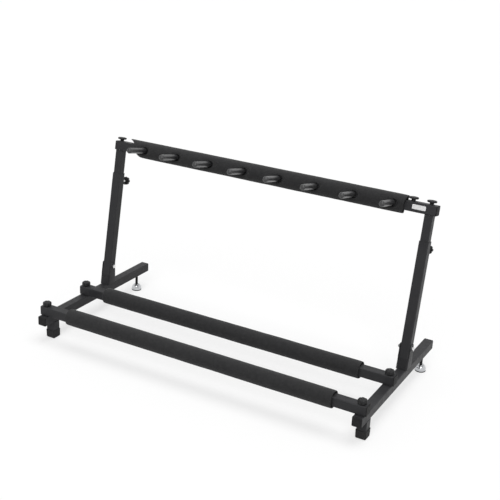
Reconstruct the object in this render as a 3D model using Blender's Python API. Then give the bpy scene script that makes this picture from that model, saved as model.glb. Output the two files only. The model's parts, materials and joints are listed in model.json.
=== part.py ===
"""Folding racket rack of square steel tube with foam sleeves.

Two legs carry a front and a rear crossbar. A hinge bracket on each leg holds
an outer upright on a bolt, so that the upper frame folds forward over the
base. The inner uprights slide in the outer ones and carry the top bar, whose
eight fingers keep the racket handles apart.

Metres, +X to the right, +Y to the back, +Z up. The origin is on the floor
under the middle of the rack.
"""
import math

import bmesh
import bpy
from mathutils import Matrix, Vector

# Gaps
TOUCH_GAP = 0.0003               # between pieces that touch
SLIDE_GAP = 0.0005               # each side of a tube that slides in another
FOLD_CLEARANCE = 0.0026          # folded upright above the clamp knobs
TAIL_CLEARANCE = 0.002           # swinging end of the upright above the leg
WEB_CLEARANCE = 0.0165           # bracket's front web below the folded upright

# Square steel tube
TUBE = 0.025
TUBE_WALL = 0.0012
TUBE_CORNER = 0.0025             # outside corner radius
INNER_WALL = 0.0010              # wall of the tubes that go inside another

# Legs
LEG_SPACING = 0.918              # centre to centre
LEG_LENGTH = 0.480               # with its end caps
LEG_UNDERSIDE = 0.0485           # height above the floor

# Front feet
FOOT_INSET = 0.046               # front end of the leg to the middle of the foot
PAD_HEIGHT = 0.0225
PAD_WALL = 0.0012
PAD_FLOOR = 0.004
PAD_CHAMFER = 0.001

# Levelling glides
GLIDE_INSET = 0.045              # rear end of the leg to the glide's axis
GLIDE_DIAMETER = 0.029
GLIDE_RIM = 0.001                # rounding of the lower edge
GLIDE_SHOULDER = 0.008           # height of the straight side
GLIDE_SLOPE = 0.014              # height at which the dome starts to close
GLIDE_SLOPE_DIAMETER = 0.025
GLIDE_HEIGHT = 0.0185
GLIDE_NECK = 0.016               # diameter of the flat on top
GLIDE_STEM = 0.008               # diameter
GLIDE_REACH = 0.014              # length of stem above the leg's underside
GLIDE_NUT_WIDTH = 0.013
GLIDE_NUT_HEIGHT = 0.0065

# End caps
CAP_FLANGE = 0.002
CAP_CHAMFER = 0.0008
CAP_PLUG = 0.006                 # depth of the plug in the tube

# Crossbars
FRONT_BAR_INSET = 0.0245         # front end of the leg to the front bar's axis
BAR_SPACING = 0.167              # front bar's axis to the rear bar's axis
LOWER_BAR_OVERHANG = 0.017       # right leg's middle to the bar's right end
LEFT_OVERHANG = 0.014            # left leg's middle to the left end of every bar

# Foam sleeves of the crossbars
LOWER_FOAM_DIAMETER = 0.045
LOWER_FOAM_LENGTH = 0.772
FRONT_FOAM_SHIFT = 0.004         # foam's middle to the right of the middle between the legs
REAR_FOAM_SHIFT = -0.001

# Knobs
STUD = 0.006                     # diameter of the threaded studs
STUD_PAST_NUT = 0.002            # stud's end beyond the nut that holds it
NUT_WIDTH = 0.010                # across flats
NUT_HEIGHT = 0.005
WELD_OVERLAP = 0.0005            # how far a welded piece runs into the wall
LOBED_DIAMETER = 0.023
LOBED_HEIGHT = 0.0115            # with its neck
LOBED_NECK = 0.0015
LOBED_NECK_DIAMETER = 0.014
LOBED_CHAMFER = 0.0012
LOBE_COUNT = 7
LOBE_DEPTH = 0.0014
FLAT_KNOB_DIAMETER = 0.0245
FLAT_KNOB_HEAD = 0.0055
FLAT_KNOB_NECK = 0.005
FLAT_KNOB_NECK_DIAMETER = 0.011
FLAT_KNOB_ROUNDING = 0.0012

# Hinge
PIVOT_INSET = 0.298              # front end of the leg to the hinge bolt
LEAN = math.radians(10.1)        # backward lean of the uprights
BRACKET_WALL = 0.002
BRACKET_TOP = 0.011              # hinge bolt to the bracket's top edge
BRACKET_REAR = 0.009             # hinge bolt to the upright rear edge of the bracket
BRACKET_STEP = 0.004             # height of the slope from the web back to the sides' front edge
BRACKET_ROUNDING = 0.003
BOLT = 0.006
BOLT_HEAD_WIDTH = 0.010
BOLT_HEAD_HEIGHT = 0.004
BOLT_PAST_NUT = 0.0015

# Uprights, measured along their lean from the hinge bolt
OUTER_REACH = 0.2725             # to the top of the outer upright
TOP_BAR_REACH = 0.351            # to the top bar's axis
SLIDE_DOWN = 0.030               # how far the top frame can be lowered
INNER_FOOT_CLEARANCE = 0.0035    # inner upright above the bolt when lowered
HEIGHT_KNOB_DROP = 0.0258        # outer upright's top to the height knob
HEIGHT_KNOB_REACH = 0.045        # upright's axis to the height knob's outer face
UPRIGHT_PLUG = 0.012             # height of the threaded plug

# Top bar
SLEEVE_OVERHANG = 0.0192         # right leg's middle to the end sleeve's cap
SLEEVE_UNDER_FOAM = 0.013        # end sleeve's length under the foam
SPIGOT_DEPTH = 0.080             # spigot's length inside the top bar
SPIGOT_STUD_GAP = 0.010          # spigot's end to the right knob's stud
SLEEVE_KNOB_CLEARANCE = 0.00125  # foam's end to the sleeve lock knob

# Top foam
TOP_FOAM_DIAMETER = 0.049
TOP_FOAM_LEFT_TOP = 0.0375       # left leg's middle to the slanted end, at its top
TOP_FOAM_LEFT_BOTTOM = 0.074     # the same at its bottom
TOP_FOAM_RIGHT = 0.060           # foam's right end to the right leg's middle

# Fingers
FINGER_COUNT = 8
FIRST_FINGER = 0.0895            # left leg's middle to the first finger
FINGER_PITCH = 0.105
FINGER_REACH = 0.0945            # top bar's axis to the tip
FINGER_RISE = 0.001              # finger's root above the top bar's axis
FINGER_TILT = math.radians(2)    # upward tilt of the fingers
FINGER_DIAMETER = 0.016
FINGER_TIP = 0.005               # length of the rounded tip
FINGER_END_WALL = 0.008          # cover beyond the rod's end
ROD_DIAMETER = 0.008
FINGER_HOLE_WIDTH = 0.025        # opening in the foam
FINGER_HOLE_HEIGHT = 0.020
FINGER_HOLE_SHIFT = 0.003        # how far the opening's middle lies to the right of the finger

# Label plate
LABEL_INSET = 0.0167             # foam's right end to the plate
LABEL_LENGTH = 0.0346
LABEL_HEIGHT = 0.0115
LABEL_RISE = 0.001               # plate's middle above the end sleeve's axis
LABEL_THICKNESS = 0.0006

# Smoothness of the model
CORNER_STEPS = 2
FOAM_CORNER_STEPS = 7
ROUND_STEPS = 24
HOLE_STEPS = 16
NUT_STEPS = 12
FINGER_STEPS = 16
TIP_STEPS = 3
POINTS_PER_LOBE = 4
SHARP_ANGLE = math.radians(35)
CUT_MARGIN = 0.004               # how far a cutter runs past what it cuts

# Sizes that follow from those above
TUBE_BORE = TUBE - 2 * TUBE_WALL
INNER_TUBE = TUBE_BORE - 2 * SLIDE_GAP
INNER_BORE = INNER_TUBE - 2 * INNER_WALL
INNER_CORNER = TUBE_CORNER - TUBE_WALL / 2
STUD_HOLE = STUD + 2 * TOUCH_GAP
BOLT_HOLE = BOLT + 2 * TOUCH_GAP
GLIDE_HOLE = GLIDE_STEM + 2 * TOUCH_GAP
CAP_TO_TUBE = CAP_FLANGE + TOUCH_GAP
BRACKET_OUTSIDE = TUBE / 2 + TOUCH_GAP + BRACKET_WALL
BOLT_HEAD_START = BRACKET_OUTSIDE + TOUCH_GAP

LEFT_REACH = BRACKET_OUTSIDE + TOUCH_GAP + NUT_HEIGHT + BOLT_PAST_NUT
RIGHT_REACH = max(SLEEVE_OVERHANG, LOWER_BAR_OVERHANG, BOLT_HEAD_START + BOLT_HEAD_HEIGHT)
MIDDLE_SHIFT = (LEFT_REACH - RIGHT_REACH) / 2
LEFT = MIDDLE_SHIFT - LEG_SPACING / 2
RIGHT = MIDDLE_SHIFT + LEG_SPACING / 2
FRONT = -LEG_LENGTH / 2
BACK = LEG_LENGTH / 2

LEG_TOP = LEG_UNDERSIDE + TUBE
FRONT_BAR_Y = FRONT + FRONT_BAR_INSET
REAR_BAR_Y = FRONT_BAR_Y + BAR_SPACING
LOWER_BAR_Z = LEG_TOP + TOUCH_GAP + TUBE / 2
LOWER_BAR_TOP = LOWER_BAR_Z + TUBE / 2
BAR_LEFT = LEFT - LEFT_OVERHANG
CLAMP_STUD = TUBE + 2 * TOUCH_GAP + TUBE_WALL + NUT_HEIGHT + STUD_PAST_NUT

PIVOT_Y = FRONT + PIVOT_INSET
PIVOT_Z = LOWER_BAR_TOP + TOUCH_GAP + LOBED_HEIGHT + FOLD_CLEARANCE + TUBE / 2
PIVOT_RISE = PIVOT_Z - LEG_TOP
UPRIGHT_TAIL = math.sqrt((PIVOT_RISE - TAIL_CLEARANCE) ** 2 - (TUBE / 2) ** 2)
WEB_DROP = TUBE / 2 + WEB_CLEARANCE
INNER_FOOT = SLIDE_DOWN + BOLT / 2 + INNER_FOOT_CLEARANCE
INNER_TOP = TOP_BAR_REACH - TUBE / 2 - TOUCH_GAP
HEIGHT_KNOB_Z = OUTER_REACH - HEIGHT_KNOB_DROP
TOP_FACE = TOP_BAR_REACH + TUBE / 2

TOP_FOAM_END = RIGHT - TOP_FOAM_RIGHT
SLEEVE_START = TOP_FOAM_END - SLEEVE_UNDER_FOAM
SLEEVE_END = RIGHT + SLEEVE_OVERHANG
SLEEVE_KNOB_X = TOP_FOAM_END + SLEEVE_KNOB_CLEARANCE + FLAT_KNOB_DIAMETER / 2
FINGER_PLACES = [LEFT + FIRST_FINGER + FINGER_PITCH * step for step in range(FINGER_COUNT)]

# Looks: colour, roughness, metallic
PAINT = ((0.030, 0.030, 0.032), 0.45, 0.0)
FOAM = ((0.030, 0.030, 0.031), 0.90, 0.0)
SOFT_COVER = ((0.025, 0.025, 0.027), 0.45, 0.0)
PLASTIC = ((0.018, 0.018, 0.019), 0.50, 0.0)
RUBBER = ((0.020, 0.020, 0.021), 0.75, 0.0)
CHROME = ((0.80, 0.80, 0.82), 0.12, 1.0)
ZINC = ((0.62, 0.63, 0.65), 0.35, 1.0)
LABEL_WHITE = ((0.85, 0.85, 0.85), 0.40, 0.0)


def spread(across, over, along, axis):
    """Return the point at a distance along the axis, moved across and over it."""
    if axis == "X":
        return Vector((along, across, over))
    if axis == "Y":
        return Vector((across, along, over))
    return Vector((across, over, along))


def round_square(width, corner, along, axis, steps=CORNER_STEPS):
    """Return the points of a square with rounded corners."""
    reach = width / 2 - corner
    points = []
    for quarter, (side, height) in enumerate(((1, 1), (-1, 1), (-1, -1), (1, -1))):
        for step in range(steps + 1):
            angle = math.radians(90 * (quarter + step / steps))
            across = side * reach + corner * math.cos(angle)
            over = height * reach + corner * math.sin(angle)
            points.append(spread(across, over, along, axis))
    return points


def circle(diameter, along, axis, steps=ROUND_STEPS, turn=0.0):
    """Return the points of a circle; a diameter of nothing is one point."""
    if diameter <= 0:
        return [spread(0, 0, along, axis)]
    points = []
    for step in range(steps):
        angle = turn + 2 * math.pi * step / steps
        across = diameter / 2 * math.cos(angle)
        over = diameter / 2 * math.sin(angle)
        points.append(spread(across, over, along, axis))
    return points


def hexagon(width, along, axis, steps=ROUND_STEPS):
    """Return the points of a hexagon, given across its flats."""
    points = []
    for step in range(steps):
        angle = 2 * math.pi * step / steps
        from_flat = (angle + math.pi / 6) % (math.pi / 3) - math.pi / 6
        radius = width / 2 / math.cos(from_flat)
        points.append(spread(radius * math.cos(angle), radius * math.sin(angle), along, axis))
    return points


def lobed_ring(diameter, depth, along, axis):
    """Return the points of a round outline with lobes of the given depth."""
    count = LOBE_COUNT * POINTS_PER_LOBE
    points = []
    for step in range(count):
        angle = 2 * math.pi * step / count
        radius = diameter / 2 - depth * (1 - math.cos(LOBE_COUNT * angle)) / 2
        points.append(spread(radius * math.cos(angle), radius * math.sin(angle), along, axis))
    return points


def join_rows(shape, first, second):
    """Bridge two rows of vertices with faces; a row of one vertex is a pole."""
    count = max(len(first), len(second))
    for index in range(count):
        after = (index + 1) % count
        corners = [first[index % len(first)], first[after % len(first)]]
        corners += [second[after % len(second)], second[index % len(second)]]
        shape.faces.new(list(dict.fromkeys(corners)))


def skin(rings, closed=False, shape=None):
    """Make a closed solid from a row of rings, capped or joined end to end."""
    shape = shape or bmesh.new()
    rows = [[shape.verts.new(point) for point in ring] for ring in rings]
    for first, second in zip(rows, rows[1:]):
        join_rows(shape, first, second)
    if closed:
        join_rows(shape, rows[-1], rows[0])
    else:
        for row in (rows[0], rows[-1]):
            if len(row) > 1:
                shape.faces.new(row)
    bmesh.ops.recalc_face_normals(shape, faces=shape.faces)
    return shape


def moved(ring, offset):
    """Return a ring moved by an offset."""
    return [point + Vector(offset) for point in ring]


def square_tube(width, wall, corner, start, end, axis):
    """Make a hollow square tube, open at both ends."""
    bore = width - 2 * wall
    bore_corner = corner - wall / 2
    rings = [round_square(width, corner, start, axis), round_square(width, corner, end, axis)]
    rings += [round_square(bore, bore_corner, end, axis), round_square(bore, bore_corner, start, axis)]
    return skin(rings, closed=True)


def outer_tube(start, end, axis):
    """Make a piece of the main square tube."""
    return square_tube(TUBE, TUBE_WALL, TUBE_CORNER, start, end, axis)


def inner_tube(start, end, axis):
    """Make a piece of the square tube that fits inside the main one."""
    return square_tube(INNER_TUBE, INNER_WALL, INNER_CORNER, start, end, axis)


def rod(diameter, start, end, axis, steps=HOLE_STEPS, shape=None, offset=(0, 0, 0)):
    """Make a round rod."""
    rings = [circle(diameter, along, axis, steps) for along in (start, end)]
    return skin([moved(ring, offset) for ring in rings], shape=shape)


def hex_rod(width, start, end, axis, shape=None, offset=(0, 0, 0)):
    """Make a hexagonal rod, given across its flats."""
    rings = [hexagon(width, along, axis, NUT_STEPS) for along in (start, end)]
    return skin([moved(ring, offset) for ring in rings], shape=shape)


def turned(profile, axis, steps=ROUND_STEPS):
    """Turn a profile of (diameter, distance along the axis) into a solid."""
    return skin([circle(diameter, along, axis, steps) for diameter, along in profile])


def fillet(before, corner, after, radius, steps=CORNER_STEPS):
    """Round one corner of an outline with an arc that touches both its sides."""
    corner = Vector(corner)
    towards_before = (Vector(before) - corner).normalized()
    towards_after = (Vector(after) - corner).normalized()
    half_angle = towards_before.angle(towards_after) / 2
    middle = (towards_before + towards_after).normalized()
    centre = corner + middle * radius / math.sin(half_angle)
    first = corner + towards_before * radius / math.tan(half_angle) - centre
    last = corner + towards_after * radius / math.tan(half_angle) - centre
    start = math.atan2(first.y, first.x)
    sweep = math.remainder(math.atan2(last.y, last.x) - start, 2 * math.pi)
    angles = [start + sweep * step / steps for step in range(steps + 1)]
    return [centre + radius * Vector((math.cos(angle), math.sin(angle))) for angle in angles]


def add_object(name, shape, parent, location):
    """Turn a shape into an object under its parent."""
    mesh = bpy.data.meshes.new(name)
    shape.to_mesh(mesh)
    shape.free()
    added = bpy.data.objects.new(name, mesh)
    added.parent = parent
    added.location = location
    bpy.context.scene.collection.objects.link(added)
    return added


def piece(name, shape, look, parent=None, location=(0, 0, 0)):
    """Add one sub-part with its own material."""
    colour, roughness, metallic = look
    material = bpy.data.materials.new(name + "_finish")
    material.use_nodes = True
    shader = material.node_tree.nodes["Principled BSDF"]
    shader.inputs["Base Color"].default_value = (*colour, 1.0)
    shader.inputs["Roughness"].default_value = roughness
    shader.inputs["Metallic"].default_value = metallic
    added = add_object(name, shape, parent, location)
    added.data.materials.append(material)
    added.data.shade_smooth()
    added.data.set_sharp_from_angle(angle=SHARP_ANGLE)
    return added


def change(target, shape, operation, name):
    """Cut a shape out of a piece, or weld it on; it lies in the piece's own frame."""
    tool = add_object(target.name + "_" + name, shape, target.parent, target.location)
    tool.hide_render = True
    tool.display_type = "WIRE"
    modifier = target.modifiers.new(name, "BOOLEAN")
    modifier.object = tool
    modifier.operation = operation
    modifier.solver = "EXACT"


def joint(name, location, lean=0.0, parent=None):
    """Add an empty on a joint's axis."""
    empty = bpy.data.objects.new(name, None)
    empty.location = location
    empty.rotation_euler.x = -lean
    empty.parent = parent
    bpy.context.scene.collection.objects.link(empty)
    return empty


def end_cap(name, axis, outward, location, parent=None):
    """Make the plug of a tube's end; its outer face is at the location."""
    plug = TUBE_BORE - 2 * TOUCH_GAP
    inside = outward * (CAP_TO_TUBE + CAP_PLUG)
    flange = outward * CAP_FLANGE
    chamfer = outward * CAP_CHAMFER
    rings = [round_square(plug, TUBE_CORNER / 2, -inside, axis)]
    rings.append(round_square(plug, TUBE_CORNER / 2, -flange, axis))
    rings.append(round_square(TUBE, TUBE_CORNER, -flange, axis))
    rings.append(round_square(TUBE, TUBE_CORNER, -chamfer, axis))
    rings.append(round_square(TUBE - 2 * CAP_CHAMFER, TUBE_CORNER, 0, axis))
    piece(name, skin(rings), PLASTIC, parent, location)


def lobed_knob(name, stud_length, axis, outward, parent, location):
    """Make a clamp knob; the underside of its neck is at the location."""
    neck = outward * LOBED_NECK
    height = outward * LOBED_HEIGHT
    chamfer = outward * LOBED_CHAMFER
    rings = [lobed_ring(STUD, 0, -outward * stud_length, axis)]
    rings.append(lobed_ring(STUD, 0, 0, axis))
    rings.append(lobed_ring(LOBED_NECK_DIAMETER, 0, 0, axis))
    rings.append(lobed_ring(LOBED_NECK_DIAMETER, 0, neck, axis))
    rings.append(lobed_ring(LOBED_DIAMETER, LOBE_DEPTH, neck, axis))
    rings.append(lobed_ring(LOBED_DIAMETER, LOBE_DEPTH, height - chamfer, axis))
    rings.append(lobed_ring(LOBED_DIAMETER - 2 * LOBED_CHAMFER, LOBE_DEPTH, height, axis))
    piece(name, skin(rings), PLASTIC, parent, location)


def flat_knob(name, stud_length, parent, location):
    """Make a flat-headed knob; the underside of its neck is at the location."""
    height = FLAT_KNOB_NECK + FLAT_KNOB_HEAD
    rim = FLAT_KNOB_DIAMETER - 2 * FLAT_KNOB_ROUNDING
    profile = [(STUD, -stud_length), (STUD, 0), (FLAT_KNOB_NECK_DIAMETER, 0)]
    profile += [(FLAT_KNOB_NECK_DIAMETER, FLAT_KNOB_NECK), (rim, FLAT_KNOB_NECK)]
    profile += [(FLAT_KNOB_DIAMETER, FLAT_KNOB_NECK + FLAT_KNOB_ROUNDING)]
    profile += [(FLAT_KNOB_DIAMETER, height - FLAT_KNOB_ROUNDING), (rim, height)]
    piece(name, turned(profile, "Z"), PLASTIC, parent, location)


def make_leg(side, x):
    """Make a leg with its welded nuts, its caps, its foot and its glide."""
    half = LEG_LENGTH / 2 - CAP_TO_TUBE
    bore = TUBE_BORE / 2
    glide_y = BACK - GLIDE_INSET
    leg = piece(side + "_leg", outer_tube(-half, half, "Y"), PAINT, location=(x, 0, LEG_TOP - TUBE / 2))
    nuts = bmesh.new()
    holes = bmesh.new()
    for bar_y in (FRONT_BAR_Y, REAR_BAR_Y):
        hex_rod(NUT_WIDTH, bore - NUT_HEIGHT, bore + WELD_OVERLAP, "Z", nuts, (0, bar_y, 0))
        rod(STUD_HOLE, 0, TUBE / 2 + CUT_MARGIN, "Z", shape=holes, offset=(0, bar_y, 0))
    hex_rod(GLIDE_NUT_WIDTH, -bore - WELD_OVERLAP, GLIDE_NUT_HEIGHT - bore, "Z", nuts, (0, glide_y, 0))
    rod(GLIDE_HOLE, -TUBE / 2 - CUT_MARGIN, 0, "Z", shape=holes, offset=(0, glide_y, 0))
    change(leg, nuts, "UNION", "nuts")
    change(leg, holes, "DIFFERENCE", "holes")
    end_cap(side + "_leg_front_cap", "Y", -1, (x, FRONT, LEG_TOP - TUBE / 2))
    end_cap(side + "_leg_rear_cap", "Y", 1, (x, BACK, LEG_TOP - TUBE / 2))
    make_foot(side, x)
    make_glide(side, x, glide_y)


def make_foot(side, x):
    """Make the front foot post and its rubber foot."""
    place = (x, FRONT + FOOT_INSET, 0)
    post = outer_tube(PAD_FLOOR + TOUCH_GAP, LEG_UNDERSIDE - TOUCH_GAP, "Z")
    piece(side + "_foot_post", post, PAINT, location=place)
    bore = TUBE + 2 * TOUCH_GAP
    width = bore + 2 * PAD_WALL
    rings = [round_square(width - 2 * PAD_CHAMFER, TUBE_CORNER, 0, "Z")]
    rings.append(round_square(width, TUBE_CORNER, PAD_CHAMFER, "Z"))
    rings.append(round_square(width, TUBE_CORNER, PAD_HEIGHT, "Z"))
    rings.append(round_square(bore, TUBE_CORNER, PAD_HEIGHT, "Z"))
    rings.append(round_square(bore, TUBE_CORNER, PAD_FLOOR, "Z"))
    piece(side + "_rubber_foot", skin(rings), RUBBER, location=place)


def make_glide(side, x, y):
    """Make the levelling glide: a domed foot on the floor with a threaded stem."""
    flat = GLIDE_DIAMETER - 2 * GLIDE_RIM
    stem_top = LEG_UNDERSIDE + GLIDE_REACH
    profile = [(flat, 0), (GLIDE_DIAMETER, GLIDE_RIM), (GLIDE_DIAMETER, GLIDE_SHOULDER)]
    profile += [(GLIDE_SLOPE_DIAMETER, GLIDE_SLOPE), (GLIDE_NECK, GLIDE_HEIGHT)]
    profile += [(GLIDE_STEM, GLIDE_HEIGHT), (GLIDE_STEM, stem_top)]
    axis = joint(side + "_glide_axis", (x, y, 0))
    piece(side + "_levelling_glide", turned(profile, "Z"), CHROME, axis)


def make_lower_bar(place, y, foam_shift):
    """Make a crossbar with its caps, its foam sleeve and its clamp knobs."""
    end = RIGHT + LOWER_BAR_OVERHANG
    tube = outer_tube(BAR_LEFT + CAP_TO_TUBE, end - CAP_TO_TUBE, "X")
    bar = piece(place + "_bar", tube, PAINT, location=(0, y, LOWER_BAR_Z))
    holes = bmesh.new()
    reach = TUBE / 2 + CUT_MARGIN
    for x in (LEFT, RIGHT):
        rod(STUD_HOLE, -reach, reach, "Z", shape=holes, offset=(x, 0, 0))
    change(bar, holes, "DIFFERENCE", "holes")
    end_cap(place + "_bar_left_cap", "X", -1, (BAR_LEFT, y, LOWER_BAR_Z))
    end_cap(place + "_bar_right_cap", "X", 1, (end, y, LOWER_BAR_Z))
    foam = foam_sleeve(LOWER_FOAM_DIAMETER, LOWER_FOAM_LENGTH)
    foam_start = MIDDLE_SHIFT + foam_shift - LOWER_FOAM_LENGTH / 2
    piece(place + "_foam", foam, FOAM, location=(foam_start, y, LOWER_BAR_Z))
    for side, x in (("left", LEFT), ("right", RIGHT)):
        axis = joint(place + "_" + side + "_clamp_axis", (x, y, LOWER_BAR_TOP + TOUCH_GAP))
        lobed_knob(place + "_" + side + "_clamp_knob", CLAMP_STUD, "Z", 1, axis, (0, 0, 0))


def foam_sleeve(diameter, length, slant=0.0):
    """Make a round foam sleeve on a square bar; a slant leans its left end."""
    bore = TUBE + 2 * TOUCH_GAP
    steps = 4 * (FOAM_CORNER_STEPS + 1)
    turn = math.pi / steps
    inside = round_square(bore, TUBE_CORNER, 0, "X", FOAM_CORNER_STEPS)
    outside = circle(diameter, 0, "X", steps, turn)
    start = [[point - Vector((point.z * slant, 0, 0)) for point in ring] for ring in (outside, inside)]
    end = [moved(ring, (length, 0, 0)) for ring in (outside, inside)]
    return skin([start[0], end[0], end[1], start[1]], closed=True)


def bracket_foot(rearward):
    """Return how far along the lean the leg's top lies at a distance behind the bolt."""
    drop = PIVOT_RISE - TOUCH_GAP
    return (rearward * math.sin(LEAN) - drop) / math.cos(LEAN)


def bracket_rear(along):
    """Return how far behind the lean's axis the bracket's plumb rear edge lies."""
    return (BRACKET_REAR - along * math.sin(LEAN)) / math.cos(LEAN)


def bracket_block():
    """Make the bracket's outside shape, before the upright's room is cut."""
    web = -BRACKET_OUTSIDE
    front = -TUBE / 2
    foot = BRACKET_REAR * math.cos(LEAN) + (PIVOT_RISE - TOUCH_GAP) * math.sin(LEAN)
    corners = [(web, bracket_foot(web)), (foot, bracket_foot(foot))]
    corners += [(bracket_rear(BRACKET_TOP), BRACKET_TOP), (front, BRACKET_TOP)]
    corners += [(front, BRACKET_STEP - WEB_DROP), (web, -WEB_DROP)]
    outline = [Vector(corners[0]), Vector(corners[1])]
    outline += fillet(corners[1], corners[2], corners[3], BRACKET_ROUNDING)
    outline += fillet(corners[2], corners[3], corners[4], BRACKET_ROUNDING)
    outline += [Vector(corners[4]), Vector(corners[5])]
    return prism(outline, BRACKET_OUTSIDE)


def bracket_room():
    """Make the room for the upright: open at the rear, and in front above the web."""
    web_inside = -(TUBE / 2 + TOUCH_GAP)
    front = -(BRACKET_OUTSIDE + CUT_MARGIN)
    rear = TUBE + CUT_MARGIN
    low = -(PIVOT_RISE + TUBE)
    high = BRACKET_TOP + CUT_MARGIN
    outline = [(web_inside, low), (rear, low), (rear, high), (front, high)]
    outline += [(front, -WEB_DROP), (web_inside, -WEB_DROP)]
    return prism([Vector(corner) for corner in outline], TUBE / 2 + TOUCH_GAP)


def prism(outline, half_width):
    """Extrude an outline of (rearward, upward) points to both sides along X."""
    return skin([[Vector((x, p.x, p.y)) for p in outline] for x in (-half_width, half_width)])


def make_hinge(side, x, fold):
    """Make the bracket on the leg, and the bolt and nut of the hinge."""
    place = (x, 0, 0)
    bracket = piece(side + "_hinge_bracket", bracket_block(), PAINT, fold, place)
    change(bracket, bracket_room(), "DIFFERENCE", "room")
    reach = BRACKET_OUTSIDE + CUT_MARGIN
    change(bracket, rod(BOLT_HOLE, -reach, reach, "X"), "DIFFERENCE", "bolt_hole")
    nut_start = BRACKET_OUTSIDE + TOUCH_GAP
    bolt_end = nut_start + NUT_HEIGHT + BOLT_PAST_NUT
    rings = [circle(BOLT, -bolt_end, "X"), circle(BOLT, BOLT_HEAD_START, "X")]
    rings.append(hexagon(BOLT_HEAD_WIDTH, BOLT_HEAD_START, "X"))
    rings.append(hexagon(BOLT_HEAD_WIDTH, BOLT_HEAD_START + BOLT_HEAD_HEIGHT, "X"))
    piece(side + "_hinge_bolt", skin(rings), ZINC, fold, place)
    rings = [hexagon(NUT_WIDTH, -nut_start, "X"), hexagon(NUT_WIDTH, -nut_start - NUT_HEIGHT, "X")]
    rings.append(circle(BOLT_HOLE, -nut_start - NUT_HEIGHT, "X"))
    rings.append(circle(BOLT_HOLE, -nut_start, "X"))
    piece(side + "_hinge_nut", skin(rings, closed=True), ZINC, fold, place)


def make_outer_upright(side, x, fold):
    """Make the outer upright with its welded nut, and the height knob in it."""
    upright = piece(side + "_outer_upright", outer_tube(-UPRIGHT_TAIL, OUTER_REACH, "Z"), PAINT, fold, (x, 0, 0))
    face = TUBE / 2
    nut = hex_rod(NUT_WIDTH, face - WELD_OVERLAP, face + NUT_HEIGHT, "Y", offset=(0, 0, HEIGHT_KNOB_Z))
    change(upright, nut, "UNION", "height_nut")
    holes = rod(BOLT_HOLE, -face - CUT_MARGIN, face + CUT_MARGIN, "X")
    rod(STUD_HOLE, 0, face + NUT_HEIGHT + CUT_MARGIN, "Y", shape=holes, offset=(0, 0, HEIGHT_KNOB_Z))
    change(upright, holes, "DIFFERENCE", "holes")
    head_start = HEIGHT_KNOB_REACH - LOBED_HEIGHT
    stud_length = head_start - INNER_TUBE / 2 - TOUCH_GAP
    axis = joint(side + "_height_knob_axis", (x, head_start, HEIGHT_KNOB_Z), parent=fold)
    lobed_knob(side + "_height_knob", stud_length, "Y", 1, axis, (0, 0, 0))


def make_inner_upright(side, x, slide):
    """Make the inner upright and the threaded plug in its top."""
    piece(side + "_inner_upright", inner_tube(INNER_FOOT, INNER_TOP, "Z"), PAINT, slide, (x, 0, 0))
    width = INNER_BORE - 2 * TOUCH_GAP
    corner = INNER_CORNER - INNER_WALL / 2
    plug = skin([round_square(width, corner, along, "Z") for along in (INNER_TOP - UPRIGHT_PLUG, INNER_TOP)])
    added = piece(side + "_upright_plug", plug, ZINC, slide, (x, 0, 0))
    hole = rod(STUD_HOLE, INNER_TOP - UPRIGHT_PLUG - CUT_MARGIN, INNER_TOP + CUT_MARGIN, "Z")
    change(added, hole, "DIFFERENCE", "thread")


def tilted(ring):
    """Return a ring of a finger, raised and tilted up about the finger's root."""
    root = Vector((0, -TUBE / 2, 0))
    turn = Matrix.Rotation(-FINGER_TILT, 3, "X")
    raised = root + Vector((0, 0, FINGER_RISE))
    return [turn @ (point - root) + raised for point in ring]


def make_top_bar(slide):
    """Make the top bar with its finger rods, its spigot, end sleeve and caps."""
    place = (0, 0, TOP_BAR_REACH)
    tube = outer_tube(BAR_LEFT + CAP_TO_TUBE, SLEEVE_START - TOUCH_GAP, "X")
    bar = piece("top_bar", tube, PAINT, slide, place)
    rods = bmesh.new()
    for x in FINGER_PLACES:
        start = WELD_OVERLAP - TUBE / 2
        end = FINGER_END_WALL - FINGER_REACH
        rings = [circle(ROD_DIAMETER, along, "Y", FINGER_STEPS) for along in (start, end)]
        skin([moved(tilted(ring), (x, 0, 0)) for ring in rings], shape=rods)
    change(bar, rods, "UNION", "rods")
    reach = TUBE / 2 + CUT_MARGIN
    change(bar, rod(STUD_HOLE, -reach, reach, "Z", offset=(LEFT, 0, 0)), "DIFFERENCE", "stud_hole")
    end_cap("top_bar_cap", "X", -1, (BAR_LEFT, 0, TOP_BAR_REACH), slide)

    spigot_end = RIGHT - STUD / 2 - SPIGOT_STUD_GAP
    tube = inner_tube(SLEEVE_START - SPIGOT_DEPTH, spigot_end, "X")
    spigot = piece("top_bar_spigot", tube, PAINT, slide, place)
    face = INNER_BORE / 2
    nut = hex_rod(NUT_WIDTH, face - NUT_HEIGHT, face + WELD_OVERLAP, "Z", offset=(SLEEVE_KNOB_X, 0, 0))
    change(spigot, nut, "UNION", "nut")
    hole = rod(STUD_HOLE, 0, reach, "Z", offset=(SLEEVE_KNOB_X, 0, 0))
    change(spigot, hole, "DIFFERENCE", "stud_hole")

    tube = outer_tube(SLEEVE_START, SLEEVE_END - CAP_TO_TUBE, "X")
    sleeve = piece("end_sleeve", tube, PAINT, slide, place)
    holes = rod(STUD_HOLE, 0, reach, "Z", offset=(SLEEVE_KNOB_X, 0, 0))
    rod(STUD_HOLE, -reach, reach, "Z", shape=holes, offset=(RIGHT, 0, 0))
    change(sleeve, holes, "DIFFERENCE", "stud_holes")
    end_cap("end_sleeve_cap", "X", 1, (SLEEVE_END, 0, TOP_BAR_REACH), slide)


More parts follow.
